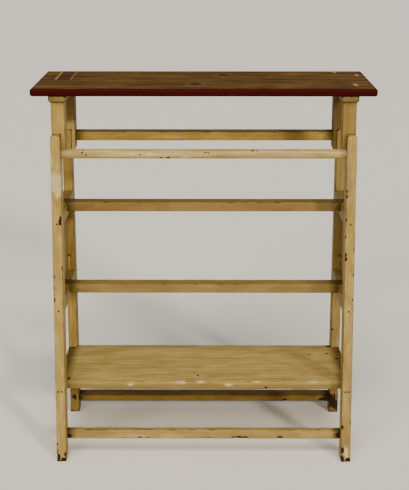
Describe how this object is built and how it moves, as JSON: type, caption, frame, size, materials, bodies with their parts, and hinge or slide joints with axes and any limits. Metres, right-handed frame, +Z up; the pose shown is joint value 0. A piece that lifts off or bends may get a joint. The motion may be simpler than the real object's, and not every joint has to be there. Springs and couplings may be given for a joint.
{
  "type": "free-standing rail rack",
  "caption": "Free-standing painted wooden rack: a stained plank top on two end frames with splayed front legs, cross rails for hanging, a low shelf and foot rails.",
  "frame": {"origin": "on the floor, under the middle of the whole rack's box", "axes": "+X along the rails to the right as seen from the front, -Y to the front, +Z up"},
  "size_m": [0.974, 0.492, 1.088],
  "materials": {
    "painted_wood": "old cream oil paint on softwood, worn through to dark wood at the edges",
    "shelf_paint": "old cream oil paint, worn by use",
    "stained_top": "brown-stained planks with a dark red painted edge",
    "iron": "dark rusted iron"
  },
  "bodies": {
    "root": {"top_front_plank": "stained_top", "top_rear_plank": "stained_top", "left_top_bearer": "painted_wood", "right_top_bearer": "painted_wood", "left_front_post": "painted_wood", "right_front_post": "painted_wood", "left_rear_post": "painted_wood", "right_rear_post": "painted_wood", "left_front_leg": "painted_wood", "right_front_leg": "painted_wood", "left_rear_leg": "painted_wood", "right_rear_leg": "painted_wood", "left_upper_stretcher": "painted_wood", "right_upper_stretcher": "painted_wood", "left_lower_stretcher": "painted_wood", "right_lower_stretcher": "painted_wood", "left_end_panel": "painted_wood", "right_end_panel": "painted_wood", "left_corner_block": "painted_wood", "right_corner_block": "painted_wood", "upper_rear_rail": "painted_wood", "upper_front_rail": "painted_wood", "middle_rail": "painted_wood", "lower_rail": "painted_wood", "shelf": "shelf_paint", "rear_foot_rail": "painted_wood", "front_foot_rail": "painted_wood", "top_screws": "iron", "lap_screws": "iron", "stretcher_nails": "iron", "shelf_nails": "iron", "rail_nails": "iron", "foot_rail_nails": "iron"}
  },
  "joints": []
}
